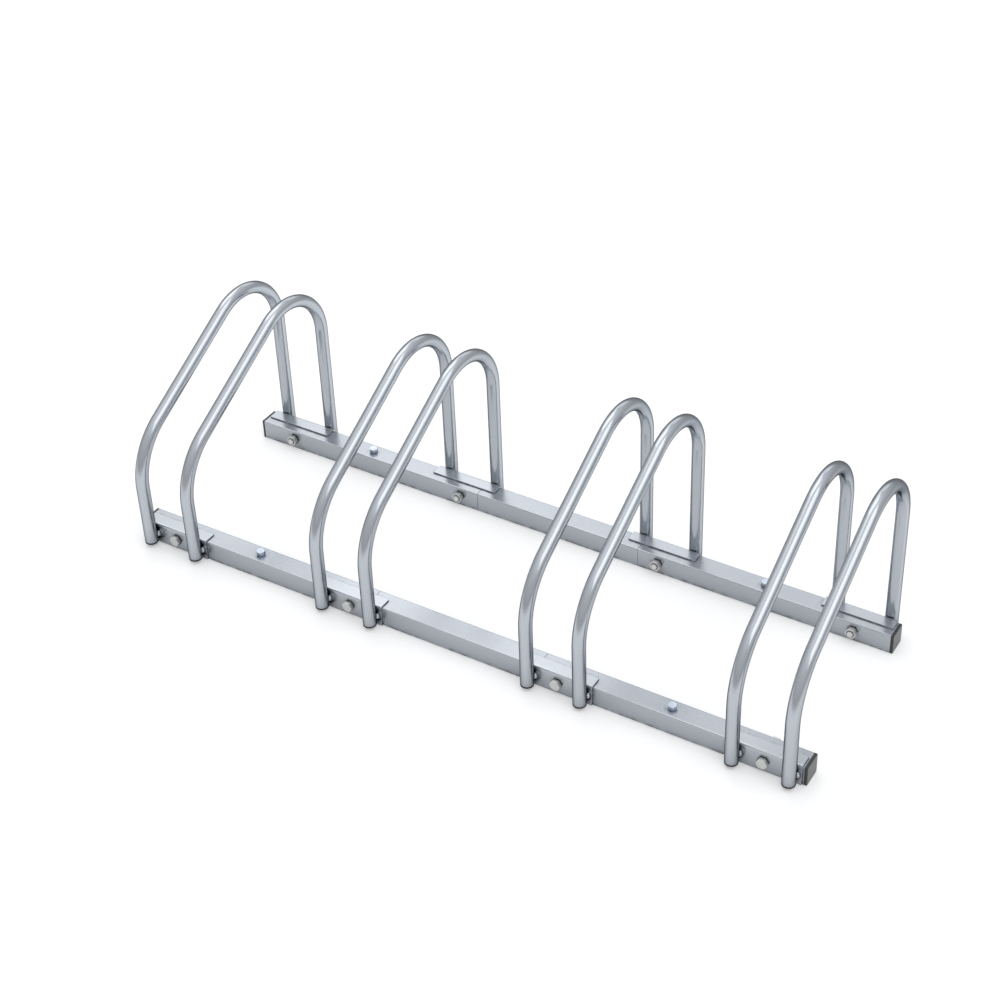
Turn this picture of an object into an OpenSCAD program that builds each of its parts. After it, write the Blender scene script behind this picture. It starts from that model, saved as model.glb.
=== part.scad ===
// Floor rack for four bicycles, galvanised steel.
// Two square-tube rails lie on the floor. Four pairs of bent round-tube hoops stand between them, and a
// front or a rear wheel is pushed in between the two hoops of a pair. Each pair is welded to an angle
// bracket at the front and at the back, and one bolt and nut holds each bracket to its rail.
// X runs along the rack, Y from the front rail to the back rail, Z up. The origin is on the floor,
// under the centre of the rack. All lengths are millimetres, all angles degrees.

/* [Overall] */
// Length of the rack over its end caps
rack_l = 950; // [900:1:1000]
// Depth of the rack over the outsides of the hoop legs
rack_d = 320; // [300:2:360]
// Height from the floor to the top of the hoops
rack_h = 270; // [255:1:330]

/* [Rails] */
// Outside width and height of the square rail tube
rail_w = 28; // [26:0.5:30]
// Wall of the rail tube
rail_wall = 1.5; // [1:0.1:2]
// Outside corner radius of the rail tube
rail_corner_r = 1.6; // [1.2:0.1:3]
// Gap at each butt seam of a rail
rail_seam_gap = 0.3; // [0.1:0.1:0.8]

/* [Splice sleeves] */
// Length of the square sleeve inside each rail seam
sleeve_l = 100; // [90:1:120]
// Wall of the sleeve
sleeve_wall = 1.5; // [1:0.1:2]
// Clearance of the sleeve to the inside of the rail, each side
sleeve_fit = 0.1; // [0.05:0.05:0.2]

/* [End caps] */
// Thickness of the visible flange of a cap
cap_flange_t = 4; // [3:0.5:5]
// Bevel round the outer face of the flange
cap_bevel = 0.8; // [0.4:0.1:1.2]
// Length of the plug that goes into the rail
cap_plug_l = 18; // [14:1:24]
// Wall of the hollow plug
cap_plug_wall = 1.6; // [1.2:0.1:2]
// Height of the gripping fins on the plug
cap_fin_h = 1.4; // [1:0.1:1.8]
// Thickness of one fin
cap_fin_t = 1; // [0.8:0.1:1.4]
// Clearance of the fins to the inside of the rail, each side
cap_fit = 0.1; // [0.05:0.05:0.2]

/* [Bays] */
// Distance from an end of the rack to the middle of its outer bay
bay_end_inset = 54; // [53:0.5:60]
// Distance between the middles of an outer and an inner bay, as a share of the rack's length
bay_gap_share = 0.2858; // [0.28:0.001:0.29]
// Distance from the middle of an inner bay to the rail seam beside it
seam_inset = 28.5; // [24:0.5:32]
// Distance between the centre lines of the two hoops of a bay
hoop_pitch = 72; // [64:1:74]

/* [Hoops] */
// Outside diameter of the hoop tube
tube_d = 17; // [15:0.5:19]
// Wall of the hoop tube
tube_wall = 1.5; // [1:0.1:2]
// Height of the cut tube ends above the floor
leg_clear = 5; // [3:0.5:8]
// Centre-line radius of the bend above the front leg
low_bend_r = 91; // [70:1:100]
// Centre-line radius of the bend at the top
top_bend_r = 75; // [60:1:80]
// Lean of the sloping stretch from the vertical
slant_angle = 61; // [57:0.5:64]

/* [Weld beads] */
// Radius of one ripple of a weld bead
weld_r = 2.7; // [2:0.1:2.9]
// Distance from one ripple of a bead to the next
weld_ripple = 2.5; // [1.5:0.1:3]
// Height of the middle of a bead above the floor
weld_z = 17; // [14:0.5:20]

/* [Brackets] */
// Length of an angle bracket along the rail
bracket_l = 96; // [94:1:98]
// Thickness of the bracket
bracket_t = 2; // [1.5:0.1:3]
// Width of the flange on top of the rail
bracket_top_w = 18; // [14:0.5:22]
// Height of the flange on the side of the rail
bracket_side_h = 29; // [26:0.5:29.5]
// Inside radius of the bracket's bend
bracket_bend_r = 0.8; // [0.5:0.1:1.5]

/* [Bolts and nuts] */
// Shank diameter of a bolt
bolt_d = 8; // [6:0.5:8]
// Width across the flats of a bolt head and of a nut
bolt_af = 13; // [12:0.5:14]
// Height of a bolt head
bolt_head_h = 5.3; // [4:0.1:6.5]
// Height of a nut
nut_h = 6.5; // [5:0.1:8]
// Height of the round washer face under a head or a nut
bolt_face_h = 0.6; // [0.3:0.1:0.8]
// Length of bolt that stands out of its nut
bolt_tip_l = 1.5; // [0.8:0.1:3]
// Height of the bolts above the floor
bolt_z = 15.5; // [14:0.5:16]
// Clearance between a bolt and the bore of its nut, all round
nut_fit = 0.1; // [0.05:0.05:0.2]
// Clearance between a bolt and the holes it passes, all round
bolt_hole_fit = 0.5; // [0.3:0.1:1]

/* [Anchor screws] */
// Shank diameter of an anchor screw
anchor_d = 6; // [5:0.5:8]
// Width across the flats of an anchor screw's head
anchor_af = 10; // [9:0.5:13]
// Height of an anchor screw's head
anchor_head_h = 6; // [4:0.5:7]
// Clearance between an anchor screw and its holes, all round
anchor_hole_fit = 0.5; // [0.3:0.1:1]

/* [Hidden] */
$fn = 48;
HEX_SIDES = 6;
FLIP = 180;
SQUARE_TURN = 90;

// Least radius of the inner corners of a square tube
inner_corner_r = 0.3;
// Share of the across-flats size that a hex corner is drawn in by its chamfer
hex_chamfer_share = 0.04;
// Share of a thread's radius that is bevelled off at a bolt's end and at a nut's mouth
thread_bevel_share = 0.16;
// Diameter of the washer face, as a share of the across-flats size
washer_face_share = 0.9;
// Places of the fins along the plug of a cap
cap_fin_shares = [0.3, 0.6, 0.9];

// Share of the tube's radius by which bending thins it
bend_thin_share = 0.006;

// One overrun serves every cut
cut = rail_w / 4;

// Places across the rack, worked from the outside in: leg, bracket, rail
tube_r = tube_d / 2;
leg_y = rack_d / 2 - tube_r;
bracket_y = leg_y - tube_r;
rail_face_y = bracket_y - bracket_t;
rail_y = rail_face_y - rail_w / 2;
rail_inner_w = rail_w - 2 * rail_wall;

// Places along the rack
rail_end_x = rack_l / 2 - cap_flange_t;
bay_outer_x = rack_l / 2 - bay_end_inset;
bay_inner_x = bay_outer_x - rack_l * bay_gap_share;
rail_seam_x = bay_inner_x - seam_inset;
rail_side_x = rail_seam_x + rail_seam_gap;
rail_side_l = rail_end_x - rail_side_x;
anchor_x = rail_side_x + rail_side_l / 2;
bay_xs = [-bay_outer_x, -bay_inner_x, bay_inner_x, bay_outer_x];

// A bend's tube is a hair thinner than the straight stretches, and it runs this far into them
bend_thin = tube_r * bend_thin_share;
bend_lap = tube_wall;

// Centre line of a hoop in the YZ plane: leg, lower bend, sloping stretch, top bend, leg
top_bend_y = leg_y - top_bend_r;
top_bend_z = rack_h + bend_thin - tube_r - top_bend_r;
low_bend_y = low_bend_r - leg_y;
slant_start_y = low_bend_y - low_bend_r * cos(slant_angle);
slant_end_y = top_bend_y - top_bend_r * cos(slant_angle);
slant_l = (slant_end_y - slant_start_y) / sin(slant_angle);
slant_end_z = top_bend_z + top_bend_r * sin(slant_angle);
slant_start_z = slant_end_z - slant_l * cos(slant_angle);
low_bend_z = slant_start_z - low_bend_r * sin(slant_angle);

// A bead lies in the groove between a leg and its bracket: a ball of radius weld_seat_r at the
// bead's middle touches both
weld_seat_r = weld_r / 2;
weld_x = 2 * sqrt(tube_r * weld_seat_r);
weld_y = bracket_y + weld_seat_r;

// Fasteners
bolt_hole_r = bolt_d / 2 + bolt_hole_fit;
bolt_grip = bracket_t + rail_w;
bolt_shank_l = bolt_grip + bolt_face_h + nut_h + bolt_tip_l;
anchor_hole_r = anchor_d / 2 + anchor_hole_fit;

// Places its children, drawn for the front, at the front or at the back of the rack
module on_side(side) {
    if (side == "front") children();
    else mirror([0, 1, 0]) children();
}

// Places its children, drawn for the right-hand end, at the right or at the left end
module at_end(end) {
    if (end == "right") children();
    else mirror([1, 0, 0]) children();
}

// Turns a profile drawn in Y and Z, extruded by l, so that it runs along +X
module along_x(l) {
    rotate([SQUARE_TURN, 0, SQUARE_TURN]) linear_extrude(height = l) children();
}

// Square of width w with round corners, standing on the Y axis and centred on Z
module rounded_square(w, r) {
    translate([-w / 2, r]) square([w, w - 2 * r]);
    translate([r - w / 2, 0]) square([w - 2 * r, w]);
    for (y = [r - w / 2, w / 2 - r], z = [r, w - r])
        translate([y, z]) circle(r);
}

// Square tube of outside width w that starts at x0 and runs for l
module square_tube(x0, l, w, wall, r) {
    translate([x0, 0, 0]) along_x(l) difference() {
        rounded_square(w, r);
        translate([0, wall]) rounded_square(w - 2 * wall, max(r - wall, inner_corner_r));
    }
}

// Cylinder that cuts the bolt hole of a bay through everything on the front rail
module bolt_hole(x) {
    translate([x, cut - rail_y + rail_w / 2, bolt_z]) rotate([SQUARE_TURN, 0, 0])
        cylinder(h = bolt_grip + 2 * cut, r = bolt_hole_r);
}

// Hexagon prism with its corners on X and with a chamfered top
module hex_block(af, h) {
    corner_r = af / 2 / cos(FLIP / HEX_SIDES);
    chamfer_r = af * hex_chamfer_share;
    intersection() {
        cylinder(h = h, r = corner_r, $fn = HEX_SIDES);
        union() {
            cylinder(h = h - chamfer_r, r = corner_r);
            translate([0, 0, h - chamfer_r])
                cylinder(h = chamfer_r, r1 = corner_r, r2 = corner_r - 2 * chamfer_r);
        }
    }
}

// Outer rail segment, drawn at the front right: two bolt holes and one anchor hole
module rail_side_segment() {
    color("silver") difference() {
        translate([0, -rail_y, 0])
            square_tube(rail_side_x, rail_side_l, rail_w, rail_wall, rail_corner_r);
        for (x = [bay_inner_x, bay_outer_x]) bolt_hole(x);
        translate([anchor_x, -rail_y, -cut]) cylinder(h = rail_w + 2 * cut, r = anchor_hole_r);
    }
}

// Middle rail segment, drawn at the front: a plain length held by the two sleeves
module rail_middle_segment() {
    color("silver") translate([0, -rail_y, 0])
        square_tube(-rail_seam_x, 2 * rail_seam_x, rail_w, rail_wall, rail_corner_r);
}

// Square sleeve across the right-hand seam, lying in the rail and pinned by the inner bay's bolt
module splice_sleeve() {
    w = rail_inner_w - 2 * sleeve_fit;
    color("gray") difference() {
        translate([0, -rail_y, rail_wall])
            square_tube(rail_side_x - sleeve_l / 2, sleeve_l, w, sleeve_wall, rail_corner_r);
        bolt_hole(bay_inner_x);
    }
}

// Moulded end cap, drawn at the front right: bevelled flange and a hollow plug with fins
module end_cap() {
    plug_w = rail_inner_w - 2 * (cap_fit + cap_fin_h);
    fin_w = rail_inner_w - 2 * cap_fit;
    color([0.16, 0.17, 0.16]) translate([rail_end_x, -rail_y, 0]) {
        difference() {
            along_x(cap_flange_t) rounded_square(rail_w, rail_corner_r);
            for (a = [0 : SQUARE_TURN : 3 * SQUARE_TURN])
                translate([cap_flange_t, 0, rail_w / 2]) rotate([a, 0, 0])
                    translate([0, 0, rail_w / 2 - cap_bevel]) rotate([0, SQUARE_TURN / 2, 0])
                        translate([-cut, -rail_w, 0]) cube([2 * cut, 2 * rail_w, cut]);
        }
        translate([0, 0, (rail_w - plug_w) / 2])
            square_tube(-cap_plug_l, cap_plug_l, plug_w, cap_plug_wall, rail_corner_r);
        for (share = cap_fin_shares)
            translate([0, 0, (rail_w - fin_w) / 2])
                square_tube(-cap_plug_l * share, cap_fin_t, fin_w, cap_fin_h + cap_plug_wall / 2,
                            rail_corner_r);
    }
}

// Bend of a round bar of radius r in the YZ plane, from angle a0 to a1 about its centre. It is a
// hair thinner than the straight stretches and runs a short way into both of them.
module bar_bend(r, bend_r, a0, a1) {
    lap_angle = bend_lap / bend_r * FLIP / PI;
    rotate([SQUARE_TURN, 0, SQUARE_TURN]) rotate([0, 0, a0 - lap_angle])
        rotate_extrude(angle = a1 - a0 + 2 * lap_angle)
            translate([bend_r, 0]) circle(r - bend_thin);
}

// Solid round bar of radius r along the centre line of a hoop, its legs ending at height z0
module hoop_bar(r, z0) {
    translate([0, -leg_y, z0]) cylinder(h = low_bend_z - z0, r = r);
    translate([0, low_bend_y, low_bend_z]) bar_bend(r, low_bend_r, FLIP - slant_angle, FLIP);
    translate([0, slant_start_y, slant_start_z]) rotate([-slant_angle, 0, 0])
        cylinder(h = slant_l, r = r);
    translate([0, top_bend_y, top_bend_z]) bar_bend(r, top_bend_r, 0, FLIP - slant_angle);
    translate([0, leg_y, z0]) cylinder(h = top_bend_z - z0, r = r);
}

// Rippled bead, drawn at the right of a front leg and cut flat where it meets the bracket
module weld_bead() {
    difference() {
        for (z = [-weld_ripple, 0, weld_ripple])
            translate([weld_x, -weld_y, weld_z + z]) sphere(weld_r);
        translate([weld_x - 2 * weld_r, -bracket_y, weld_z - cut])
            cube([4 * weld_r, cut, 2 * cut]);
    }
}

// Bent tube hoop at x with the four weld beads that join it to its two brackets
module hoop(x) {
    color([0.70, 0.72, 0.75]) translate([x, 0, 0]) difference() {
        union() {
            hoop_bar(tube_r, leg_clear);
            for (side = ["front", "rear"], end = ["left", "right"])
                on_side(side) at_end(end) weld_bead();
        }
        hoop_bar(tube_r - tube_wall, leg_clear - cut);
    }
}

// Section of a bracket in Y and Z: a flange on top of the rail, a round bend and a side flange
module bracket_section() {
    top_z = rail_w + bracket_t;
    outer_r = bracket_bend_r + bracket_t;
    difference() {
        union() {
            translate([-bracket_y, top_z - bracket_side_h])
                square([bracket_t, bracket_side_h - outer_r]);
            translate([outer_r - bracket_y, rail_w]) square([bracket_top_w - outer_r, bracket_t]);
            translate([outer_r - bracket_y, top_z - outer_r]) circle(outer_r);
        }
        translate([-rail_face_y, rail_w - outer_r - cut]) square([outer_r, outer_r + cut - bracket_bend_r]);
        translate([outer_r - bracket_y, rail_w - outer_r - cut]) square([outer_r + cut, outer_r + cut]);
        translate([outer_r - bracket_y, rail_w - bracket_bend_r]) circle(bracket_bend_r);
    }
}

// Angle bracket of a bay at x, drawn on the front rail
module bracket(x) {
    color([0.78, 0.79, 0.82]) difference() {
        translate([x - bracket_l / 2, 0, 0]) along_x(bracket_l) bracket_section();
        bolt_hole(x);
    }
}

// Hex bolt of a bay at x, its head on the front bracket and its end out of the nut
module bolt(x) {
    bevel = bolt_d / 2 * thread_bevel_share;
    color([0.77, 0.78, 0.77]) translate([x, -bracket_y, bolt_z]) rotate([SQUARE_TURN, 0, 0]) {
        cylinder(h = bolt_face_h, r = bolt_af * washer_face_share / 2);
        translate([0, 0, bolt_face_h]) hex_block(bolt_af, bolt_head_h);
        mirror([0, 0, 1]) {
            cylinder(h = bolt_shank_l - bevel, r = bolt_d / 2);
            translate([0, 0, bolt_shank_l - bevel])
                cylinder(h = bevel, r1 = bolt_d / 2, r2 = bolt_d / 2 - bevel);
        }
    }
}

// Hex nut of a bay at x on the inner face of the front rail
module nut(x) {
    bevel = bolt_d / 2 * thread_bevel_share;
    bore_r = bolt_d / 2 + nut_fit;
    color([0.77, 0.78, 0.77]) translate([x, rail_w - rail_face_y, bolt_z])
        rotate([-SQUARE_TURN, 0, 0]) difference() {
            union() {
                cylinder(h = bolt_face_h, r = bolt_af * washer_face_share / 2);
                translate([0, 0, bolt_face_h]) hex_block(bolt_af, nut_h);
            }
            translate([0, 0, -cut]) cylinder(h = nut_h + bolt_face_h + 2 * cut, r = bore_r);
            translate([0, 0, nut_h + bolt_face_h - bevel])
                cylinder(h = 2 * bevel, r1 = bore_r, r2 = bore_r + 2 * bevel);
        }
}

// Anchor screw, drawn at the front right: hex head on the rail, shank down to the floor
module anchor() {
    color([0.80, 0.85, 0.90]) translate([anchor_x, -rail_y, 0]) {
        cylinder(h = rail_w, r = anchor_d / 2);
        translate([0, 0, rail_w]) hex_block(anchor_af, anchor_head_h);
    }
}

// Middles of the two hoops of bay number n
function hoop_left_x(n) = bay_xs[n - 1] - hoop_pitch / 2;
function hoop_right_x(n) = bay_xs[n - 1] + hoop_pitch / 2;

at_end("left") rail_side_segment();  // rail_front_left
rail_middle_segment();  // rail_front_middle
rail_side_segment();  // rail_front_right
on_side("rear") at_end("left") rail_side_segment();  // rail_rear_left
on_side("rear") rail_middle_segment();  // rail_rear_middle
on_side("rear") rail_side_segment();  // rail_rear_right
at_end("left") splice_sleeve();  // sleeve_front_left
splice_sleeve();  // sleeve_front_right
on_side("rear") at_end("left") splice_sleeve();  // sleeve_rear_left
on_side("rear") splice_sleeve();  // sleeve_rear_right
at_end("left") end_cap();  // cap_front_left
end_cap();  // cap_front_right
on_side("rear") at_end("left") end_cap();  // cap_rear_left
on_side("rear") end_cap();  // cap_rear_right
hoop(hoop_left_x(1));  // hoop_1_left
hoop(hoop_right_x(1));  // hoop_1_right
hoop(hoop_left_x(2));  // hoop_2_left
hoop(hoop_right_x(2));  // hoop_2_right
hoop(hoop_left_x(3));  // hoop_3_left
hoop(hoop_right_x(3));  // hoop_3_right
hoop(hoop_left_x(4));  // hoop_4_left
hoop(hoop_right_x(4));  // hoop_4_right
bracket(bay_xs[0]);  // bracket_front_1
bracket(bay_xs[1]);  // bracket_front_2
bracket(bay_xs[2]);  // bracket_front_3
bracket(bay_xs[3]);  // bracket_front_4
on_side("rear") bracket(bay_xs[0]);  // bracket_rear_1
on_side("rear") bracket(bay_xs[1]);  // bracket_rear_2
on_side("rear") bracket(bay_xs[2]);  // bracket_rear_3
on_side("rear") bracket(bay_xs[3]);  // bracket_rear_4
bolt(bay_xs[0]);  // bolt_front_1
bolt(bay_xs[1]);  // bolt_front_2
bolt(bay_xs[2]);  // bolt_front_3
bolt(bay_xs[3]);  // bolt_front_4
on_side("rear") bolt(bay_xs[0]);  // bolt_rear_1
on_side("rear") bolt(bay_xs[1]);  // bolt_rear_2
on_side("rear") bolt(bay_xs[2]);  // bolt_rear_3
on_side("rear") bolt(bay_xs[3]);  // bolt_rear_4
nut(bay_xs[0]);  // nut_front_1
nut(bay_xs[1]);  // nut_front_2
nut(bay_xs[2]);  // nut_front_3
nut(bay_xs[3]);  // nut_front_4
on_side("rear") nut(bay_xs[0]);  // nut_rear_1
on_side("rear") nut(bay_xs[1]);  // nut_rear_2
on_side("rear") nut(bay_xs[2]);  // nut_rear_3
on_side("rear") nut(bay_xs[3]);  // nut_rear_4
at_end("left") anchor();  // anchor_front_left
anchor();  // anchor_front_right
on_side("rear") at_end("left") anchor();  // anchor_rear_left
on_side("rear") anchor();  // anchor_rear_right
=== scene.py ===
# %% [markdown]
# # A floor rack for four bicycles
#
# The rack is galvanised steel: two square tubes lie on the floor, and eight bent round tubes stand on
# them in pairs. This script dresses the exact solids of the rack for a studio picture. The solids come
# in as a fixed frame, in metres, with the origin on the floor under the middle of the rack.
#
# A good habit for a beginner: load the frame first, keep its box, and never move what it holds.

# %% Load the frame
import bmesh
import bpy
import numpy as np
from mathutils import Matrix, Vector


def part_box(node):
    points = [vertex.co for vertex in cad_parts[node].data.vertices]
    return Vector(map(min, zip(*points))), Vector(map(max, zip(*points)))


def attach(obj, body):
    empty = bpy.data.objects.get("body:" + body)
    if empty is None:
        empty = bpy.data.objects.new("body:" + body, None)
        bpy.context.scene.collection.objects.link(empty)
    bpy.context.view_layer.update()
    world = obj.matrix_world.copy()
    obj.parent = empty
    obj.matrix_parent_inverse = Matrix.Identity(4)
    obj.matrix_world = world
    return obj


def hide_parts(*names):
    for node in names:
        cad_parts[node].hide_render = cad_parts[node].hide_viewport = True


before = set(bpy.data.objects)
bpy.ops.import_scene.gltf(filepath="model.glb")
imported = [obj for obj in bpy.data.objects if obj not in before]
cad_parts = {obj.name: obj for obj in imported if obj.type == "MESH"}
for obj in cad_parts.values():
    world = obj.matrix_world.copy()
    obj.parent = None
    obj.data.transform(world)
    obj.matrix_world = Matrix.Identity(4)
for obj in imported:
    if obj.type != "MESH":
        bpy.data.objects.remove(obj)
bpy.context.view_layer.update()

MM = 0.001
print("solids in the frame:", len(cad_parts))

# %% [markdown]
# ## The camera
#
# The picture was taken from the front right and from above, with a long lens. The direction is given as
# an azimuth, an elevation and a very small roll, and the camera's three axes follow from them. The rack
# doesn't sit in the middle of the frame, so the lens is shifted a little, as a view camera's would be.

# %% Camera
VIEW_AZIMUTH = np.radians(28.309)
VIEW_ELEVATION = np.radians(35.113)
VIEW_ROLL = np.radians(0.231)
CAMERA_PLACE = np.array([1.0621, -1.6615, 1.6466])
LENS_MM = 72.17
SENSOR_MM = 36.0
LENS_SHIFT = (-0.1278, -0.0823)
CLIP_END_M = 50.0


def camera_axes(azimuth, elevation, roll):
    """Right, up and back of a camera. Back points from the subject to the camera: level it is the sine
    and minus the cosine of the azimuth, and the elevation lifts it. Right is level and square to back,
    up is back crossed with right, and the roll turns right and up about back."""
    back = np.array([np.sin(azimuth) * np.cos(elevation), -np.cos(azimuth) * np.cos(elevation),
                     np.sin(elevation)])
    level = np.array([np.cos(azimuth), np.sin(azimuth), 0.0])
    over = np.cross(back, level)
    right = np.cos(roll) * level + np.sin(roll) * over
    return right, np.cross(back, right), back


camera_data = bpy.data.cameras.new("studio camera")
camera_data.sensor_width = SENSOR_MM
camera_data.lens = LENS_MM
camera_data.shift_x, camera_data.shift_y = LENS_SHIFT
camera_data.clip_end = CLIP_END_M
camera = bpy.data.objects.new("studio camera", camera_data)
bpy.context.scene.collection.objects.link(camera)
axes = camera_axes(VIEW_AZIMUTH, VIEW_ELEVATION, VIEW_ROLL)
placed = np.eye(4)
placed[:3, :3] = np.column_stack(axes)
placed[:3, 3] = CAMERA_PLACE
camera.matrix_world = Matrix(placed.tolist())
bpy.context.scene.camera = camera
print("camera is", round(float(np.linalg.norm(CAMERA_PLACE)), 2), "m from the origin")

# %% [markdown]
# ## Helpers for surfaces
#
# Every new piece is a grid of points, worked out at once as a numpy array with two parameters: rows go
# along the piece, columns go round it. One helper turns such a grid into a mesh with a UV map, so a
# pattern can follow the surface. It could also be done with Blender's curves, but a grid keeps full
# control of where each edge runs.

# %% From a grid of points to a mesh
DOUBLED_M = 1e-7


def grid_faces(rows, cols, close_rows, close_cols):
    """Corner indices of the quads of a grid, and the row and column of each corner counted without
    wrapping round, for the UV map. Corner (i, j) is point i * cols + j."""
    i = np.arange(rows if close_rows else rows - 1)
    j = np.arange(cols if close_cols else cols - 1)
    i, j = (a.ravel() for a in np.meshgrid(i, j, indexing="ij"))
    at_row = np.stack([i, i, i + 1, i + 1], axis=1)
    at_col = np.stack([j, j + 1, j + 1, j], axis=1)
    return (at_row % rows) * cols + at_col % cols, at_row, at_col


def make_mesh(name, points, quads, corner_uv, material_index=None, sharp_degrees=35.0):
    """Fills a mesh from arrays, welds doubled points, turns the faces outwards, and shades it smooth
    except across edges that bend more than sharp_degrees."""
    mesh = bpy.data.meshes.new(name)
    mesh.vertices.add(len(points))
    mesh.vertices.foreach_set("co", np.ascontiguousarray(points, dtype=np.float32).ravel())
    mesh.loops.add(quads.size)
    mesh.loops.foreach_set("vertex_index", quads.ravel().astype(np.int32))
    mesh.polygons.add(len(quads))
    mesh.polygons.foreach_set("loop_start", np.arange(0, quads.size, 4, dtype=np.int32))
    if material_index is not None:
        mesh.polygons.foreach_set("material_index", material_index.astype(np.int32))
    uv = mesh.uv_layers.new(name="along and round")
    uv.data.foreach_set("uv", corner_uv.astype(np.float32).ravel())
    mesh.update(calc_edges=True)
    edit = bmesh.new()
    edit.from_mesh(mesh)
    bmesh.ops.remove_doubles(edit, verts=edit.verts, dist=DOUBLED_M)
    bmesh.ops.recalc_face_normals(edit, faces=edit.faces)
    edit.to_mesh(mesh)
    edit.free()
    mesh.validate()
    mesh.shade_smooth()
    mesh.set_sharp_from_angle(angle=np.radians(sharp_degrees))
    return mesh


def surface(grid, u, v, close_rows=False, close_cols=True):
    """Points, quads and corner UVs of one grid. grid is rows by cols by 3. u has a value for each row
    and v one for each column, with one more value where that direction closes."""
    rows, cols = grid.shape[:2]
    quads, at_row, at_col = grid_faces(rows, cols, close_rows, close_cols)
    corner_uv = np.stack([u[at_row], v[at_col]], axis=-1)
    return grid.reshape(-1, 3), quads, corner_uv


def joined(parts):
    """Several surfaces as one set of arrays: the point numbers of each are moved up by the points that
    come before it."""
    counts = np.cumsum([0] + [len(p[0]) for p in parts[:-1]])
    points = np.concatenate([p[0] for p in parts])
    quads = np.concatenate([p[1] + c for p, c in zip(parts, counts)])
    corner_uv = np.concatenate([p[2] for p in parts])
    return points, quads, corner_uv


def add_piece(name, mesh, materials, node):
    """Puts a mesh into the scene as a piece that rides on the rack and stands for a solid."""
    piece = bpy.data.objects.new(name, mesh)
    bpy.context.scene.collection.objects.link(piece)
    for material in materials:
        mesh.materials.append(material)
    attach(piece, "root")
    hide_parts(node)
    return piece


def nodes_of(kind):
    """Names of the solids of one kind, in order."""
    return sorted(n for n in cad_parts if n.startswith(kind + "_"))


def middle_mm(node):
    """X and Y of the middle of a solid's box, in millimetres."""
    low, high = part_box(node)
    return (low[0] + high[0]) / 2 / MM, (low[1] + high[1]) / 2 / MM


def ring_values(count):
    """Angles once round a circle, and the same with the closing angle added, for the UV map."""
    closed = np.linspace(0.0, 2.0 * np.pi, count + 1)
    return closed[:-1], closed


print("a 4 by 3 grid has", len(grid_faces(4, 3, False, True)[0]), "quads when its columns close")

# %% [markdown]
# ## The floor, the walls and the lamps
#
# Bare metal shows its surroundings more than its own colour, so the studio is the most important part
# of the finish. The walls are a soft gradient, grey at the horizon and bright overhead. There are three
# large soft lamps: the main one high on the right, one as high over the back left corner, and a lower
# one behind. They hang far away, so that every hoop shows them in the same place on its tube.
#
# The floor has three looks, and the Light Path node picks one. The camera sees white paper that still
# holds the soft shadow where the rails lie. A reflection sees a floor whose grey changes from front to
# back, with painted shade along the rails and under the middle of the rack, and fades with the
# distance. All other rays see plain pale paper, which sends its light back up.

# %% Small helpers for node trees


def link(tree, source, target):
    tree.links.new(source, target)


def node_of(tree, kind, **values):
    """Adds a node. Names with an underscore in front are its own settings, others are input sockets."""
    made = tree.nodes.new(kind)
    for key, value in values.items():
        if key.startswith("_"):
            setattr(made, key[1:], value)
        else:
            made.inputs[key.replace("_", " ")].default_value = value
    return made


def feed(tree, value, socket):
    """Gives a socket its value, which is another socket or a plain number."""
    if isinstance(value, (int, float)):
        socket.default_value = value
    else:
        link(tree, value, socket)


def math_node(tree, operation, *values):
    """A Math node whose inputs are sockets or plain numbers."""
    made = node_of(tree, "ShaderNodeMath", _operation=operation)
    for value, socket in zip(values, made.inputs):
        feed(tree, value, socket)
    return made.outputs[0]


def centred(tree, texture, amount):
    """A texture's value less a half, so that it lies about zero, times an amount."""
    return math_node(tree, "MULTIPLY", math_node(tree, "SUBTRACT", texture, 0.5), amount)


def scaled(tree, colour, factor):
    """A colour times a number."""
    made = node_of(tree, "ShaderNodeVectorMath", _operation="SCALE")
    link(tree, colour, made.inputs[0])
    link(tree, factor, made.inputs["Scale"])
    return made.outputs[0]


def split_xyz(tree, vector):
    """The outputs X, Y and Z of a vector."""
    made = node_of(tree, "ShaderNodeSeparateXYZ")
    link(tree, vector, made.inputs[0])
    return made.outputs


def fill_ramp(ramp, stops, tint=(1.0, 1.0, 1.0)):
    """Gives a Color Ramp its stops, each a position and a grey that is multiplied by the tint."""
    elements = ramp.color_ramp.elements
    while len(elements) < len(stops):
        elements.new(0.5)
    for element, (position, grey) in zip(elements, stops):
        element.position = position
        element.color = [grey * part for part in tint] + [1.0]


def mix_shader(tree, share, first, second):
    """A Mix Shader of two nodes. The share of the second is a socket or a plain number."""
    mixed = node_of(tree, "ShaderNodeMixShader")
    feed(tree, share, mixed.inputs[0])
    link(tree, first.outputs[0], mixed.inputs[1])
    link(tree, second.outputs[0], mixed.inputs[2])
    return mixed


def add_bump(tree, height, shader, distance=1.0):
    """Tilts a shader's normal by a height, which is in metres when the distance is 1."""
    bump = node_of(tree, "ShaderNodeBump", Strength=1.0, Distance=distance)
    link(tree, height, bump.inputs["Height"])
    link(tree, bump.outputs[0], shader.inputs["Normal"])


def seen_by(tree, kinds):
    """1 for the kinds of ray that are named, 0 for all others."""
    path = tree.nodes.new("ShaderNodeLightPath")
    total = path.outputs[kinds[0]]
    for kind in kinds[1:]:
        total = math_node(tree, "MAXIMUM", total, path.outputs[kind])
    return total


print("helpers for node trees are ready")

# %% World
# Height of the direction (sine of its elevation) and the grey of the wall there.
WALL_STOPS = ((0.0, 0.54), (0.14, 0.57), (0.28, 0.64), (0.50, 0.66), (0.72, 0.78), (0.88, 0.98),
              (1.0, 1.12))
WALL_LEVEL = 1.0
WALL_TINT = (0.985, 1.0, 1.015)

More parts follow.
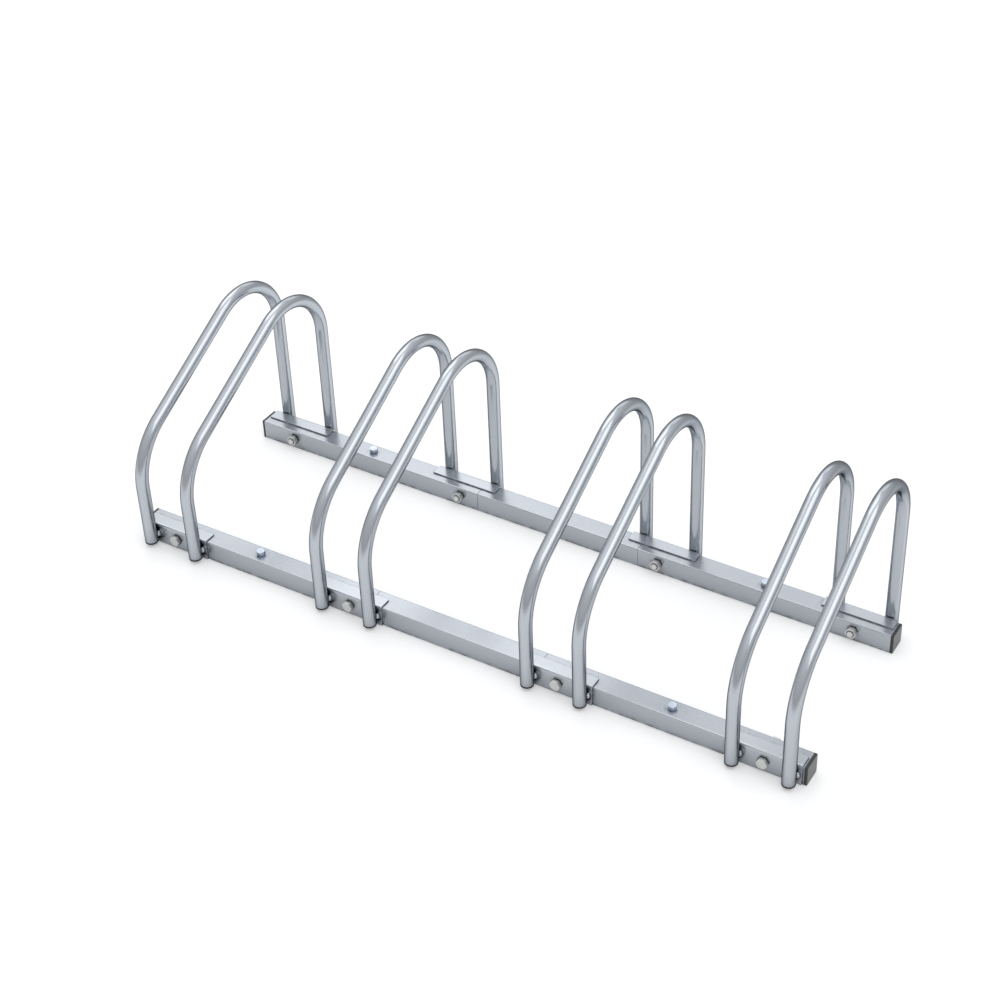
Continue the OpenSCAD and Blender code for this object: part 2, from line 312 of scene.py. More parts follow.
world = bpy.data.worlds.new("studio")
bpy.context.scene.world = world
world.use_nodes = True
tree = world.node_tree
tree.nodes.clear()
place = node_of(tree, "ShaderNodeTexCoord")
ramp = node_of(tree, "ShaderNodeValToRGB")
ramp.color_ramp.interpolation = "B_SPLINE"
fill_ramp(ramp, WALL_STOPS, WALL_TINT)
link(tree, split_xyz(tree, place.outputs["Generated"])["Z"], ramp.inputs[0])
walls = node_of(tree, "ShaderNodeBackground", Strength=WALL_LEVEL)
link(tree, ramp.outputs["Color"], walls.inputs["Color"])
white = node_of(tree, "ShaderNodeBackground", Color=(1, 1, 1, 1), Strength=1.0)
choose = mix_shader(tree, seen_by(tree, ("Is Camera Ray", "Is Transmission Ray")), walls, white)
world_out = node_of(tree, "ShaderNodeOutputWorld")
link(tree, choose.outputs[0], world_out.inputs[0])
print("wall greys:", [grey for _, grey in WALL_STOPS])

# %% Lamps
# Name, azimuth of the lamp from +X, elevation, distance in metres, width, height, power in watts.
LAMPS = (("main softbox", -12.0, 57.0, 12.0, 9.6, 9.0, 225.0),
         ("high back softbox", 147.0, 57.0, 12.0, 8.6, 8.2, 210.0),
         ("low back softbox", 112.0, 29.0, 12.0, 8.5, 4.6, 72.0))
LAMP_TARGET = np.array([0.0, 0.0, 0.12])

for name, azimuth, elevation, distance, width, height, power in LAMPS:
    data = bpy.data.lights.new(name, "AREA")
    data.shape = "RECTANGLE"
    data.size, data.size_y = width, height
    data.energy = power
    lamp = bpy.data.objects.new(name, data)
    bpy.context.scene.collection.objects.link(lamp)
    a, e = np.radians(azimuth), np.radians(elevation)
    away = np.array([np.cos(a) * np.cos(e), np.sin(a) * np.cos(e), np.sin(e)])
    lamp.location = (LAMP_TARGET + distance * away).tolist()
    lamp.rotation_euler = Vector(away.tolist()).to_track_quat("Z", "Y").to_euler()
    print(name, "at", np.round(LAMP_TARGET + distance * away, 2))

# %% Floor
FLOOR_HALF = 9.0
FLOOR_PAPER = 0.80
FLOOR_SEEN = 1.12
FLOOR_GLOW = 0.31
# How pale the floor looks in a reflection, from the front of the rack to behind it (metres along Y).
# The darker greys along the rails and under the middle of the rack are painted shade.
FLOOR_REFLECTED_GREYS_AND_SHADE = ((-0.30, 0.98), (-0.20, 0.96), (-0.145, 0.88), (-0.08, 0.95), (0.0, 0.88),
                  (0.08, 0.88), (0.113, 0.84), (0.18, 1.10), (0.42, 1.10))
FLOOR_RAMP_HALF = 0.5
# A reflection finds the floor dimmer from the first distance to the second (metres, X counts for less).
FLOOR_FAR = (0.45, 1.30)
FLOOR_FAR_SQUASH = (0.55, 1.0, 0.0)
FLOOR_FAR_GREY = 0.60

floor_mesh = bpy.data.meshes.new("floor")
floor_mesh.from_pydata([(-FLOOR_HALF, -FLOOR_HALF, 0), (FLOOR_HALF, -FLOOR_HALF, 0),
                        (FLOOR_HALF, FLOOR_HALF, 0), (-FLOOR_HALF, FLOOR_HALF, 0)], [], [(0, 1, 2, 3)])
floor = bpy.data.objects.new("floor", floor_mesh)
bpy.context.scene.collection.objects.link(floor)
paper = bpy.data.materials.new("floor paper")
paper.use_nodes = True
tree = paper.node_tree
tree.nodes.clear()
place = node_of(tree, "ShaderNodeTexCoord")
front_to_back = split_xyz(tree, place.outputs["Object"])["Y"]
reflected_greys_and_shade = node_of(tree, "ShaderNodeValToRGB")
fill_ramp(reflected_greys_and_shade, [(y + FLOOR_RAMP_HALF, grey) for y, grey in FLOOR_REFLECTED_GREYS_AND_SHADE])
link(tree, math_node(tree, "ADD", front_to_back, FLOOR_RAMP_HALF), reflected_greys_and_shade.inputs[0])
dull = node_of(tree, "ShaderNodeBsdfDiffuse", Color=(FLOOR_PAPER, FLOOR_PAPER, FLOOR_PAPER, 1))
lit = node_of(tree, "ShaderNodeBsdfDiffuse", Color=(FLOOR_SEEN, FLOOR_SEEN, FLOOR_SEEN, 1))
plain = node_of(tree, "ShaderNodeEmission", Color=(1, 1, 1, 1), Strength=1.0)
pale = mix_shader(tree, FLOOR_GLOW, lit, plain)
squash = node_of(tree, "ShaderNodeVectorMath", _operation="MULTIPLY")
squash.inputs[1].default_value = FLOOR_FAR_SQUASH
link(tree, place.outputs["Object"], squash.inputs[0])
away_from = node_of(tree, "ShaderNodeVectorMath", _operation="LENGTH")
link(tree, squash.outputs[0], away_from.inputs[0])
dim = node_of(tree, "ShaderNodeMapRange", _interpolation_type="SMOOTHSTEP", From_Min=FLOOR_FAR[0],
              From_Max=FLOOR_FAR[1], To_Min=1.0, To_Max=FLOOR_FAR_GREY)
link(tree, away_from.outputs["Value"], dim.inputs["Value"])
mirrored = node_of(tree, "ShaderNodeBsdfDiffuse")
link(tree, scaled(tree, reflected_greys_and_shade.outputs["Color"], dim.outputs["Result"]), mirrored.inputs["Color"])
pick = mix_shader(tree, seen_by(tree, ("Is Glossy Ray",)), dull, mirrored)
choose = mix_shader(tree, seen_by(tree, ("Is Camera Ray", "Is Transmission Ray")), pick, pale)
floor_out = node_of(tree, "ShaderNodeOutputMaterial")
link(tree, choose.outputs[0], floor_out.inputs[0])
floor_mesh.materials.append(paper)
print("floor is", 2 * FLOOR_HALF, "m wide")

# %% [markdown]
# ## Finishes
#
# Galvanised steel is a zinc skin over drawn tube or rolled sheet. Close up it has three layers of
# detail: crystals of zinc a few millimetres across that differ a little in grey, fine lines left along
# the tube by drawing, and a soft waviness that makes reflections wander. Two more groups paint shade
# into the colour: painted shade in crevices, made patchy by a noise, and a thin painted dark band at a
# tube's ends. Each is a node group, built once and placed with its own values in every metal that needs
# it. The shader itself stays in each material.

# %% Node groups
CRYSTAL_WARP = (0.006, 0.006, 0.006)


def new_group(name, inputs, outputs):
    """An empty shader node group with the named sockets, its input node and its output node."""
    group = bpy.data.node_groups.new(name, "ShaderNodeTree")
    for label, kind, value in inputs:
        socket = group.interface.new_socket(name=label, in_out="INPUT", socket_type=kind)
        if value is not None:
            socket.default_value = value
    for label, kind in outputs:
        group.interface.new_socket(name=label, in_out="OUTPUT", socket_type=kind)
    return group, group.nodes.new("NodeGroupInput"), group.nodes.new("NodeGroupOutput")


def zinc_skin_group():
    """Tone of the zinc: crystals from a Voronoi pattern, and clouds from a slow noise. Each is centred
    on zero, scaled by its amount, added to one, and multiplied into the colour."""
    group, given, out = new_group(
        "zinc skin",
        [("Vector", "NodeSocketVector", None), ("Color", "NodeSocketColor", (0.6, 0.6, 0.6, 1)),
         ("Crystals", "NodeSocketFloat", 300.0), ("Crystal amount", "NodeSocketFloat", 0.1),
         ("Cloud amount", "NodeSocketFloat", 0.1)],
        [("Color", "NodeSocketColor")])
    warp = node_of(group, "ShaderNodeTexNoise", Scale=120.0, Detail=2.0)
    link(group, given.outputs["Vector"], warp.inputs["Vector"])
    bent = node_of(group, "ShaderNodeVectorMath", _operation="MULTIPLY_ADD")
    bent.inputs[1].default_value = CRYSTAL_WARP
    link(group, warp.outputs["Color"], bent.inputs[0])
    link(group, given.outputs["Vector"], bent.inputs[2])
    cells = node_of(group, "ShaderNodeTexVoronoi")
    link(group, bent.outputs[0], cells.inputs["Vector"])
    link(group, given.outputs["Crystals"], cells.inputs["Scale"])
    split = node_of(group, "ShaderNodeSeparateColor")
    link(group, cells.outputs["Color"], split.inputs[0])
    clouds = node_of(group, "ShaderNodeTexNoise", Scale=16.0, Detail=4.0, Roughness=0.6)
    link(group, given.outputs["Vector"], clouds.inputs["Vector"])
    crystal = centred(group, split.outputs[0], given.outputs["Crystal amount"])
    cloud = centred(group, clouds.outputs[0], given.outputs["Cloud amount"])
    tone = math_node(group, "ADD", math_node(group, "ADD", crystal, cloud), 1.0)
    link(group, scaled(group, given.outputs["Color"], tone), out.inputs["Color"])
    return group


def draw_lines_group():
    """Fine lines along a tube or sheet: a noise whose coordinates are squeezed along the grain and
    stretched across it, so that its spots become long streaks. Puts out a mask from 0 to 1."""
    group, given, out = new_group(
        "draw lines",
        [("Vector", "NodeSocketVector", None), ("Stretch", "NodeSocketVector", (8.0, 900.0, 900.0))],
        [("Lines", "NodeSocketFloat")])
    stretched = node_of(group, "ShaderNodeVectorMath", _operation="MULTIPLY")
    link(group, given.outputs["Vector"], stretched.inputs[0])
    link(group, given.outputs["Stretch"], stretched.inputs[1])
    streaks = node_of(group, "ShaderNodeTexNoise", Scale=1.0, Detail=3.0, Roughness=0.65)
    link(group, stretched.outputs[0], streaks.inputs["Vector"])
    link(group, streaks.outputs[0], out.inputs["Lines"])
    return group


def wavy_skin_group():
    """Height of the skin in metres: a slow swell, a fine orange peel and the draw lines, each with its
    own depth, added together."""
    group, given, out = new_group(
        "wavy skin",
        [("Vector", "NodeSocketVector", None), ("Lines", "NodeSocketFloat", 0.5),
         ("Swell depth", "NodeSocketFloat", 0.0001), ("Peel depth", "NodeSocketFloat", 0.00001),
         ("Line depth", "NodeSocketFloat", 0.000002)],
        [("Height", "NodeSocketFloat")])
    swell = node_of(group, "ShaderNodeTexNoise", Scale=38.0, Detail=1.0, Roughness=0.4)
    peel = node_of(group, "ShaderNodeTexNoise", Scale=420.0, Detail=2.0, Roughness=0.5)
    for texture in (swell, peel):
        link(group, given.outputs["Vector"], texture.inputs["Vector"])
    first = math_node(group, "MULTIPLY", swell.outputs[0], given.outputs["Swell depth"])
    second = math_node(group, "MULTIPLY", peel.outputs[0], given.outputs["Peel depth"])
    third = math_node(group, "MULTIPLY", given.outputs["Lines"], given.outputs["Line depth"])
    total = math_node(group, "ADD", math_node(group, "ADD", first, second), third)
    link(group, total, out.inputs["Height"])
    return group


def crevice_group():
    """Painted shade where two surfaces meet. Ambient occlusion over a few millimetres is 1 in the open
    and falls towards 0 where another surface is close. The colour is multiplied by that value raised to
    a power, and a noise makes the power larger in some places than in others, so the shade is patchy."""
    group, given, out = new_group(
        "crevice",
        [("Vector", "NodeSocketVector", None), ("Color", "NodeSocketColor", (0.6, 0.6, 0.6, 1)),
         ("Reach", "NodeSocketFloat", 0.008), ("Power", "NodeSocketFloat", 1.5),
         ("Patches", "NodeSocketFloat", 0.0)],
        [("Color", "NodeSocketColor")])
    open_sky = node_of(group, "ShaderNodeAmbientOcclusion", _samples=8)
    link(group, given.outputs["Reach"], open_sky.inputs["Distance"])
    patches = node_of(group, "ShaderNodeTexNoise", Scale=110.0, Detail=2.0)
    link(group, given.outputs["Vector"], patches.inputs["Vector"])
    spread = centred(group, patches.outputs[0], given.outputs["Patches"])
    uneven = math_node(group, "MAXIMUM", math_node(group, "ADD", given.outputs["Power"], spread), 0.0)
    unshaded_share = math_node(group, "POWER", open_sky.outputs["AO"], uneven)
    link(group, scaled(group, given.outputs["Color"], unshaded_share), out.inputs["Color"])
    return group


def painted_end_shade_group():
    """Painted shade at a tube's ends: a thin dark band where the tube's end stands just above the floor.
    Along is the distance from one end, and Length less Along that from the other. The smaller of the two
    sets the colour, from the colour times its darkest share at Start to full at End."""
    group, given, out = new_group(
        "painted end shade",
        [("Color", "NodeSocketColor", (0.6, 0.6, 0.6, 1)), ("Along", "NodeSocketFloat", 0.5),
         ("Length", "NodeSocketFloat", 1.0), ("Start", "NodeSocketFloat", 0.001),
         ("End", "NodeSocketFloat", 0.002), ("Darkest", "NodeSocketFloat", 0.12)],
        [("Color", "NodeSocketColor")])
    other = math_node(group, "SUBTRACT", given.outputs["Length"], given.outputs["Along"])
    nearest = math_node(group, "MINIMUM", given.outputs["Along"], other)
    rise = node_of(group, "ShaderNodeMapRange", _interpolation_type="SMOOTHSTEP", To_Max=1.0)
    link(group, nearest, rise.inputs["Value"])
    link(group, given.outputs["Start"], rise.inputs["From Min"])
    link(group, given.outputs["End"], rise.inputs["From Max"])
    link(group, given.outputs["Darkest"], rise.inputs["To Min"])
    link(group, scaled(group, given.outputs["Color"], rise.outputs["Result"]), out.inputs["Color"])
    return group


ZINC_SKIN = zinc_skin_group()
PAINTED_CREVICE_SHADE = crevice_group()
PAINTED_END_SHADE = painted_end_shade_group()
DRAW_LINES = draw_lines_group()
WAVY_SKIN = wavy_skin_group()
print("node groups:", [g.name for g in bpy.data.node_groups])

# %% [markdown]
# One function gives every metal its zinc skin and its painted shade in crevices, and another adds what
# drawing or rolling leaves on galvanised steel. The roughness depends on how the steel was made: drawn
# tube is smoother than rolled sheet. The tube's pattern follows its UV map, so the lines run round the
# bends with it. Flat pieces use Object coordinates, where the grain runs along X.
#
# Dull zinc mirrors less at a flat angle. The Specular Tint of a metal says how much is left there. A low
# value gives the tubes the thin dark outline that makes them stand out from a white background.

# %% Galvanised finishes
EDGE_TINT = (0.45, 0.47, 0.50, 1.0)
DULL_EDGE_TINT = (0.19, 0.20, 0.21, 1.0)


def zinc_metal(name, colour, crystals, amounts, reach, power, patches=0.0, edge_tint=DULL_EDGE_TINT):
    """A metal with zinc skin and painted shade in crevices in its base colour: the material, its shader
    and its Texture Coordinate node. amounts are those of crystals and clouds. reach, power and patches
    shape the painted shade in crevices, edge_tint is the share that is mirrored at a flat angle."""
    material = bpy.data.materials.new(name)
    material.use_nodes = True
    tree = material.node_tree
    shader = tree.nodes["Principled BSDF"]
    shader.inputs["Metallic"].default_value = 1.0
    shader.inputs["Specular Tint"].default_value = edge_tint
    place = node_of(tree, "ShaderNodeTexCoord")
    skin = node_of(tree, "ShaderNodeGroup", _node_tree=ZINC_SKIN, Color=(*colour, 1.0),
                   Crystals=crystals, Crystal_amount=amounts[0], Cloud_amount=amounts[1])
    crevice = node_of(tree, "ShaderNodeGroup", _node_tree=PAINTED_CREVICE_SHADE, Reach=reach, Power=power,
                      Patches=patches)
    for group in (skin, crevice):
        link(tree, place.outputs["Object"], group.inputs["Vector"])
    link(tree, skin.outputs["Color"], crevice.inputs["Color"])
    link(tree, crevice.outputs["Color"], shader.inputs["Base Color"])
    return material, shader, place


def galvanised(name, colour, roughness, line_roughness, stretch, depths, amounts, coordinates="Object",
               crystals=300.0, reach=0.008, power=1.5, patches=0.0, edge_tint=EDGE_TINT):
    """A zinc metal with draw lines. roughness is the mean, line_roughness how much the lines vary it,
    depths are swell, peel and lines in metres."""
    material, shader, place = zinc_metal(name, colour, crystals, amounts, reach, power, patches,
                                         edge_tint)
    tree = material.node_tree
    lines = node_of(tree, "ShaderNodeGroup", _node_tree=DRAW_LINES, Stretch=stretch)
    link(tree, place.outputs[coordinates], lines.inputs["Vector"])
    rough = math_node(tree, "MULTIPLY_ADD", lines.outputs["Lines"], line_roughness,
                      roughness - line_roughness / 2)
    link(tree, rough, shader.inputs["Roughness"])
    wavy = node_of(tree, "ShaderNodeGroup", _node_tree=WAVY_SKIN, Swell_depth=depths[0],
                   Peel_depth=depths[1], Line_depth=depths[2])
    link(tree, place.outputs["Object"], wavy.inputs["Vector"])
    link(tree, lines.outputs["Lines"], wavy.inputs["Lines"])
    add_bump(tree, wavy.outputs["Height"], shader)
    return material


def paint_end_shade(material, start, end):
    """Puts the painted end shade group before the base colour of a tube's material, with its distance
    along the tube from the UV map. Its length is set once the tube's length is known."""
    tree = material.node_tree
    base = tree.nodes["Principled BSDF"].inputs["Base Color"]
    colour = base.links[0].from_socket
    along = split_xyz(tree, node_of(tree, "ShaderNodeTexCoord").outputs["UV"])["X"]
    ends = node_of(tree, "ShaderNodeGroup", _node_tree=PAINTED_END_SHADE, Start=start, End=end)
    link(tree, colour, ends.inputs["Color"])
    link(tree, along, ends.inputs["Along"])
    link(tree, ends.outputs["Color"], base)
    return ends


# The reach and power of each galvanised finish set its painted shade in crevices, near brackets, welds
# and bolts. The rails' patches make theirs uneven.
ZINC_GREY = (0.515, 0.545, 0.585)
tube_steel = galvanised("galvanised tube", ZINC_GREY, 0.19, 0.04, (3.0, 700.0, 1.0),
                        (0.000002, 0.0000001, 0.0000001), (0.008, 0.04), coordinates="UV",
                        reach=0.016, power=0.45, edge_tint=DULL_EDGE_TINT)
# A thin dark band of painted shade, 2.1 to 3.4 mm from each end of the tube.
painted_end_shade = paint_end_shade(tube_steel, 0.0021, 0.0034)
rail_steel = galvanised("galvanised rail", (0.500, 0.526, 0.566), 0.26, 0.05, (5.0, 500.0, 500.0),
                        (0.000012, 0.0000008, 0.0000003), (0.02, 0.06), reach=0.007, power=0.50,
                        patches=6.0)
sheet_steel = galvanised("galvanised sheet", (0.545, 0.574, 0.614), 0.26, 0.05, (6.0, 500.0, 500.0),
                         (0.000008, 0.0000008, 0.0000003), (0.02, 0.05), reach=0.004, power=0.6)
sleeve_steel = galvanised("dull sleeve steel", (0.42, 0.44, 0.47), 0.50, 0.12, (5.0, 600.0, 600.0),
                          (0.00010, 0.000014, 0.000003), (0.10, 0.12))
weld_steel = galvanised("zinc over weld", (0.50, 0.525, 0.56), 0.30, 0.16, (400.0, 400.0, 400.0),
                        (0.00040, 0.000120, 0.000008), (0.35, 0.20), crystals=900.0, reach=0.0025,
                        power=0.5)
galvanised_metals = (tube_steel, rail_steel, sheet_steel, sleeve_steel, weld_steel)
print("galvanised finishes:", [metal.name for metal in galvanised_metals])

# %% [markdown]
# Bolts, nuts and screws are plated, not dipped, so they are brighter, and a little warmer or bluer.
# Their faces are turned or pressed, which leaves fine rings round the axis. The rings are a wave in the
# UV map's first value, which is the distance from the axis.

# %% Plated finishes
RING_SPACING = 0.00045
RING_WANDER = 6.0
PLATED_CRYSTALS = 1500.0
PLATED_AMOUNTS = (0.03, 0.06)
PLATED_ROUGH_SPREAD = 0.14


def plated(name, colour, roughness, ring_depth, reach, power):
    """Metal with fine rings: a sine of the distance from the axis, softened by noise."""
    material, shader, place = zinc_metal(name, colour, PLATED_CRYSTALS, PLATED_AMOUNTS, reach, power)
    tree = material.node_tree
    wobble = node_of(tree, "ShaderNodeTexNoise", Scale=900.0, Detail=2.0)
    link(tree, place.outputs["Object"], wobble.inputs["Vector"])
    turns = math_node(tree, "MULTIPLY", split_xyz(tree, place.outputs["UV"])["X"],
                      2.0 * np.pi / RING_SPACING)
    wander = math_node(tree, "MULTIPLY", wobble.outputs[0], RING_WANDER)
    wave = math_node(tree, "SINE", math_node(tree, "ADD", turns, wander))
    add_bump(tree, math_node(tree, "MULTIPLY", wave, ring_depth), shader)
    rough = math_node(tree, "MULTIPLY_ADD", wobble.outputs[0], PLATED_ROUGH_SPREAD,
                      roughness - PLATED_ROUGH_SPREAD / 2)
    link(tree, rough, shader.inputs["Roughness"])
    return material


# The last two values of a plated finish are the reach and power of its painted shade in crevices, which
# darkens the sides of heads and nuts near the plate.
bolt_zinc = plated("bright zinc", (0.755, 0.757, 0.735), 0.28, 0.000002, 0.0040, 1.9)
anchor_zinc = plated("blue zinc", (0.66, 0.73, 0.84), 0.26, 0.0000004, 0.0040, 1.1)
print("plated finishes:", [metal.name for metal in (bolt_zinc, anchor_zinc)])

# %% [markdown]
# The end caps are moulded plastic. Such a cap is never quite black: it is a dark grey with a fine
# spark eroded grain. Its end face is painted a paler grey as painted light, so that it looks more lit
# than the sides. The face is found by its normal: the size of its X part, raised to a high power, is 1
# there and almost 0 elsewhere.

# %% Moulded plastic
PAINTED_END_LIGHT = (0.185, 0.195, 0.190, 1.0)
CAP_DARK = (0.020, 0.022, 0.021, 1.0)
CAP_PALE = (0.044, 0.047, 0.045, 1.0)
CAP_IOR = 1.55
CAP_GRAIN = 0.000012
CAP_ROUGH = (0.44, 0.15)
END_FACE_POWER = 6.0
cap_plastic = bpy.data.materials.new("moulded cap plastic")
cap_plastic.use_nodes = True
tree = cap_plastic.node_tree
shader = tree.nodes["Principled BSDF"]
shader.inputs["IOR"].default_value = CAP_IOR
place = node_of(tree, "ShaderNodeTexCoord")
grain = node_of(tree, "ShaderNodeTexNoise", Scale=1400.0, Detail=3.0, Roughness=0.6)
haze = node_of(tree, "ShaderNodeTexNoise", Scale=60.0, Detail=3.0)
for texture in (grain, haze):
    link(tree, place.outputs["Object"], texture.inputs["Vector"])
tones = node_of(tree, "ShaderNodeValToRGB")
tones.color_ramp.elements[0].color = CAP_DARK
tones.color_ramp.elements[1].color = CAP_PALE
link(tree, haze.outputs[0], tones.inputs[0])
facing = math_node(tree, "ABSOLUTE", split_xyz(tree, place.outputs["Normal"])["X"])
end_face = math_node(tree, "POWER", facing, END_FACE_POWER)
# The end face gets a paler colour: painted light.
painted_end_light = node_of(tree, "ShaderNodeMix", _data_type="RGBA")
link(tree, end_face, painted_end_light.inputs[0])
link(tree, tones.outputs[0], painted_end_light.inputs[6])
painted_end_light.inputs[7].default_value = PAINTED_END_LIGHT
link(tree, painted_end_light.outputs[2], shader.inputs["Base Color"])
rough = math_node(tree, "MULTIPLY_ADD", haze.outputs[0], CAP_ROUGH[1], CAP_ROUGH[0])
link(tree, rough, shader.inputs["Roughness"])
add_bump(tree, grain.outputs[0], shader, CAP_GRAIN)
print("cap plastic is ready")

# %% [markdown]
# ## Rails, sleeves, brackets and caps
#
# These solids already have the right shape, with their holes. Only their edges are too perfect: sawn
# and sheared steel has a tiny round that catches a line of light. So each is copied, its loose
# triangles are welded and melted back into flat faces, and a Bevel modifier rounds what is sharp. A
# Weighted Normal modifier then keeps the large faces flat to the light right up to their edges.

# %% Soften the edges of a solid
LOOSE_M = 1e-6
FLAT_DEGREES = 0.5
SHARP_DEGREES = 32.0


def softened(node, material, width_mm):
    """A copy of a solid with its sharp edges rounded by width_mm."""
    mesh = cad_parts[node].data.copy()
    mesh.name = node + "_softened"
    edit = bmesh.new()
    edit.from_mesh(mesh)
    bmesh.ops.remove_doubles(edit, verts=edit.verts, dist=LOOSE_M)
    bmesh.ops.dissolve_limit(edit, angle_limit=np.radians(FLAT_DEGREES), verts=edit.verts,
                             edges=edit.edges)
    edit.to_mesh(mesh)
    edit.free()
    mesh.materials.clear()
    mesh.shade_smooth()
    piece = add_piece(node + "_softened", mesh, [material], node)
    bevel = piece.modifiers.new("soft edge", "BEVEL")
    bevel.width = width_mm * MM
    bevel.segments = 2
    bevel.limit_method = "ANGLE"
    bevel.angle_limit = np.radians(SHARP_DEGREES)
    weighted = piece.modifiers.new("flat faces stay flat", "WEIGHTED_NORMAL")
    weighted.mode = "FACE_AREA"
    weighted.weight = 100
    weighted.keep_sharp = True
    return piece


SOFTENED = (("rail", rail_steel, "rail_steel", 0.30), ("sleeve", sleeve_steel, "sleeve_steel", 0.25),
            ("bracket", sheet_steel, "bracket_steel", 0.28), ("cap", cap_plastic, "cap_plastic", 0.18))
for kind, material, slot, width_mm in SOFTENED:
    names = nodes_of(kind)
    for name in names:
        softened(name, material, width_mm)
    print(kind, "pieces softened:", len(names))

# %% [markdown]
# ## Hoops
#
# A hoop is one tube that goes through two bends. Its centre line is a short leg, a bend, a sloping
# stretch, a wider bend and a long leg, all in one upright plane. The tube's wall is a closed outline in
# two values, how far along the centre line and how far from it, with small rounds where the ends were
# deburred. Carrying that outline round the centre line gives the whole hollow tube as one grid.

# %% Sizes of a hoop, in millimetres
RACK_D = 320.0
RACK_H = 270.0
TUBE_R = 8.5
TUBE_WALL = 1.5
LEG_CLEAR = 5.0
LOW_BEND_R = 91.0
TOP_BEND_R = 75.0
LEAN = np.radians(61.0)
END_ROUND = 0.45
BEND_STEP = 2.0
STRAIGHT_STEP = 24.0
HOOP_SHARP_DEGREES = 60.0
TUBE_SIDES = 72

LEG_Y = RACK_D / 2 - TUBE_R
TOP_BEND_Y = LEG_Y - TOP_BEND_R
TOP_BEND_Z = RACK_H - TUBE_R - TOP_BEND_R
LOW_BEND_Y = LOW_BEND_R - LEG_Y
slope_y = np.array([LOW_BEND_Y - LOW_BEND_R * np.cos(LEAN), TOP_BEND_Y - TOP_BEND_R * np.cos(LEAN)])
SLOPE_L = (slope_y[1] - slope_y[0]) / np.sin(LEAN)
LOW_BEND_Z = (TOP_BEND_Z + TOP_BEND_R * np.sin(LEAN) - SLOPE_L * np.cos(LEAN)
              - LOW_BEND_R * np.sin(LEAN))
STRETCHES = np.array([LOW_BEND_Z - LEG_CLEAR, LOW_BEND_R * LEAN, SLOPE_L, TOP_BEND_R * (np.pi - LEAN),
                      TOP_BEND_Z - LEG_CLEAR])
MARKS = np.concatenate([[0.0], np.cumsum(STRETCHES)])
painted_end_shade.inputs["Length"].default_value = float(MARKS[-1]) * MM
print("a hoop's tube is", round(float(MARKS[-1])), "mm long")

# %% Centre line of a hoop


def centre_line(s):
    """Place and heading in Y and Z at distance s along the tube, for an array of distances. Straight
    stretches add heading times distance. In a bend the heading turns by distance over radius, and the
    place goes round the bend's centre."""
    low = np.clip(s - MARKS[1], 0, STRETCHES[1]) / LOW_BEND_R
    top = np.clip(s - MARKS[3], 0, STRETCHES[3]) / TOP_BEND_R
    turn = low + top
    heading = np.stack([np.sin(turn), np.cos(turn)], axis=-1)
    first_leg = np.clip(s, 0, STRETCHES[0])
    slope = np.clip(s - MARKS[2], 0, STRETCHES[2])
    last_leg = np.clip(s - MARKS[4], 0, STRETCHES[4])
    y = (-LEG_Y + LOW_BEND_R * (1 - np.cos(low)) + slope * np.sin(LEAN)
         + TOP_BEND_R * (np.cos(LEAN) - np.cos(LEAN + top)))
    z = (LEG_CLEAR + first_leg + LOW_BEND_R * np.sin(low) + slope * np.cos(LEAN)
         + TOP_BEND_R * (np.sin(LEAN + top) - np.sin(LEAN)) - last_leg)
    return np.stack([y, z], axis=-1), heading


def stations():
    """Distances along the tube where a ring of points is wanted: close together in the bends, a few on
    the straight stretches."""
    spread = [np.linspace(MARKS[k], MARKS[k + 1],
                          int(np.ceil(STRETCHES[k] / (BEND_STEP if k % 2 else STRAIGHT_STEP))) + 1)[:-1]
              for k in range(5)]
    return np.concatenate(spread + [[MARKS[-1]]])


ends = centre_line(np.array([0.0, MARKS[-1]]))[0]
print("centre line runs from", np.round(ends[0], 2), "to", np.round(ends[1], 2))

# %% Skin of the tube


def tube_outline():
    """Closed outline of the wall as distance along and distance from the centre line: out along the
    outside, round the rim in a quarter circle at each corner, and back along the bore."""
    inner_r = TUBE_R - TUBE_WALL
    s = stations()
    s = s[(s > END_ROUND) & (s < MARKS[-1] - END_ROUND)]
    t = np.linspace(0, np.pi / 2, 5)
    last = MARKS[-1]
    run, fall = END_ROUND * (1 - np.sin(t)), END_ROUND * (1 - np.cos(t))
    along = np.concatenate([run[::-1], s, last - run, last - run[::-1], s[::-1], run])
    off = np.concatenate([TUBE_R - fall[::-1], np.full(len(s), TUBE_R), TUBE_R - fall,
                          inner_r + fall[::-1], np.full(len(s), inner_r), inner_r + fall])
    return along, off


def hoop_surface(x_mm):
    """The outline carried round the centre line: place plus distance off times the direction at angle
    a, which is cos(a) along X and sin(a) along the line square to the heading."""
    along, off = tube_outline()
    angle, angle_closed = ring_values(TUBE_SIDES)
    place, heading = centre_line(along)
    side = np.stack([-heading[:, 1], heading[:, 0]], axis=-1)
    x = x_mm + off[:, None] * np.cos(angle)[None, :]
    yz = place[:, None, :] + (off[:, None] * np.sin(angle)[None, :])[..., None] * side[:, None, :]
    grid = np.concatenate([x[..., None], yz], axis=-1) * MM
    u = np.concatenate([along, along[:1]]) * MM
    return surface(grid, u, angle_closed * TUBE_R * MM, close_rows=True)


points, quads, _ = hoop_surface(0.0)
print("tube of one hoop:", len(quads), "quads, top at", round(float(points[:, 2].max() / MM), 2), "mm")

# %% [markdown]
# A weld bead is laid as a row of small overlapping puddles, like a stack of coins leaning over. Here it
# is a spindle: its thickness swells and shrinks along its length, and a ripple with sharp valleys gives
# the coins. The ripple's phase also depends on the way round the bead, which bends each coin into a
# crescent. The side towards the bracket is pressed flat, as the real bead ends at the plate.

